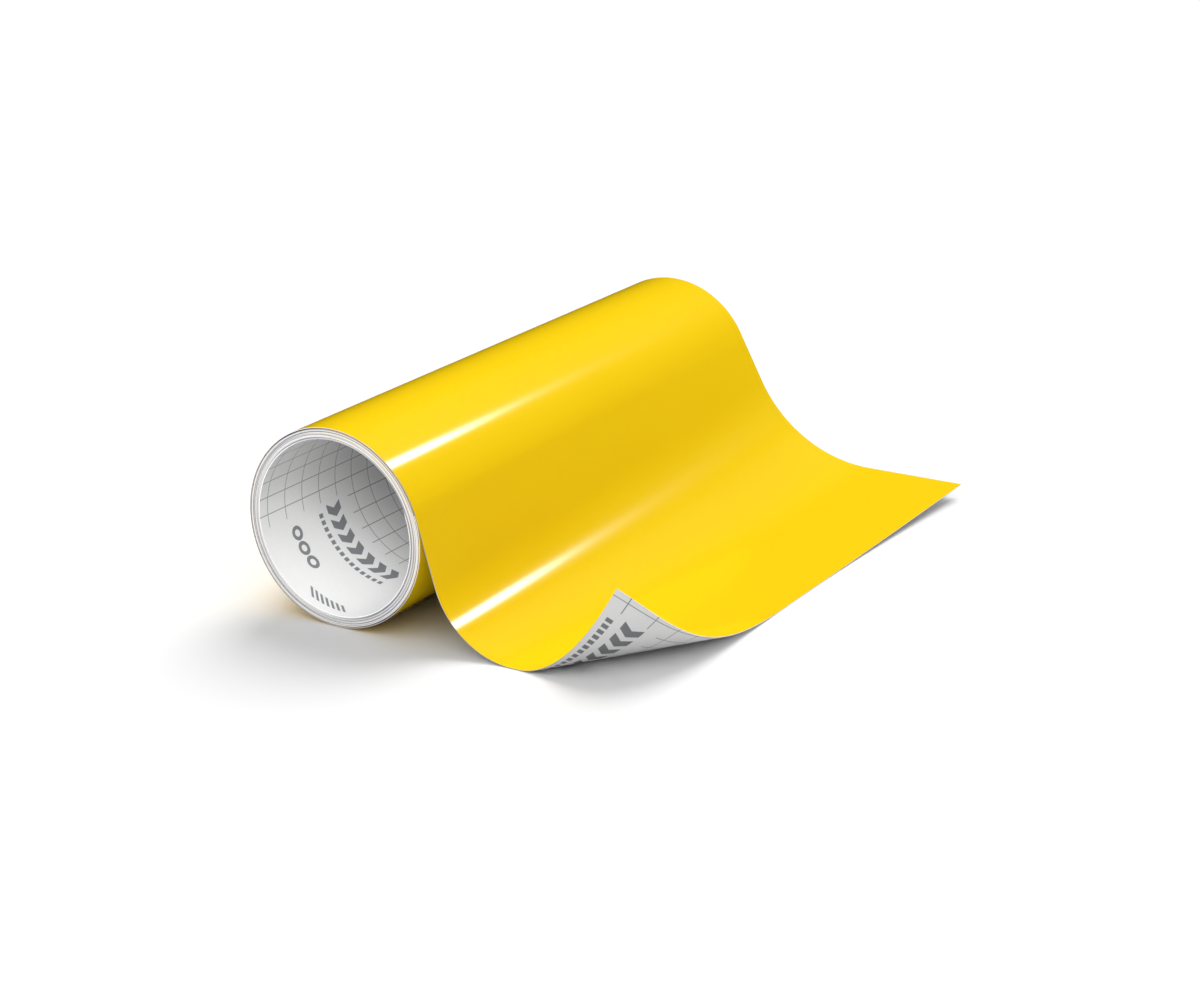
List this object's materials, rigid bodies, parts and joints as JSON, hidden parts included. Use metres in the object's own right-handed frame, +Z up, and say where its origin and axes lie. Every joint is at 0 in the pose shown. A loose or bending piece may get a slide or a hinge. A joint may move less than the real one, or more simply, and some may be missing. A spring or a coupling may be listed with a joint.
{
  "type": "roll of sign vinyl",
  "caption": "Coreless roll of glossy yellow self-adhesive sign vinyl on a printed paper liner, its free end drawn out flat with one corner curled up.",
  "frame": {"origin": "middle of the roll's open centre, on its axis", "axes": "+Y along the roll's axis away from the curled corner, +X towards the free end of the sheet, +Z up"},
  "size_m": [0.2084, 0.305, 0.0932],
  "materials": {
    "film": "high gloss",
    "adhesive": "clear, tacky",
    "liner": "smooth, printed with a grey half-inch grid"
  },
  "bodies": {
    "outer_wrap": {"wrap_film": "film", "wrap_adhesive": "adhesive", "wrap_liner": "liner", "drape_film": "film", "drape_adhesive": "adhesive", "drape_liner": "liner"},
    "outer_turns": {"outer_turns_film": "film", "outer_turns_adhesive": "adhesive", "outer_turns_liner": "liner"},
    "mid_turns": {"mid_turns_film": "film", "mid_turns_adhesive": "adhesive", "mid_turns_liner": "liner"},
    "inner_turns": {"inner_turns_film": "film", "inner_turns_adhesive": "adhesive", "inner_turns_liner": "liner"},
    "core_turns": {"core_turns_film": "film", "core_turns_adhesive": "adhesive", "core_turns_liner": "liner"},
    "tail": {"tail_film": "film", "tail_adhesive": "adhesive", "tail_liner": "liner"},
    "curl": {"curl_film": "film", "curl_adhesive": "adhesive", "curl_liner": "liner"},
    "peel": {"peel_film": "film", "peel_adhesive": "adhesive"}
  },
  "joints": [
    {"name": "roll_spin", "type": "hinge", "parent": "outer_wrap", "child": "outer_turns", "pos_m": [0, 0, 0], "axis": [0, 1, 0], "continuous": true},
    {"name": "mid_slide", "type": "slide", "parent": "outer_turns", "child": "mid_turns", "axis": [0, 1, 0], "range_m": [-0.012, 0.012]},
    {"name": "inner_slide", "type": "slide", "parent": "mid_turns", "child": "inner_turns", "axis": [0, 1, 0], "range_m": [-0.012, 0.012]},
    {"name": "core_slide", "type": "slide", "parent": "inner_turns", "child": "core_turns", "axis": [0, 1, 0], "range_m": [-0.012, 0.012]},
    {"name": "tail_lift", "type": "hinge", "parent": "outer_wrap", "child": "tail", "pos_m": [0.09354, 0, -0.04579], "axis": [0, -1, 0], "range_deg": [0, 40]},
    {"name": "corner_curl", "type": "hinge", "parent": "tail", "child": "curl", "pos_m": [0.103, -0.1525, -0.04637], "axis": [-0.443, -0.8965, 0], "range_deg": [0, 35]},
    {"name": "film_peel", "type": "hinge", "parent": "tail", "child": "peel", "pos_m": [0.1393, 0.13, -0.0392], "axis": [0.7071, -0.7071, 0], "range_deg": [0, 130]}
  ],
  "couplings": [
    {"joint": "inner_slide", "follows": "mid_slide", "ratio": 1},
    {"joint": "core_slide", "follows": "mid_slide", "ratio": 1}
  ]
}
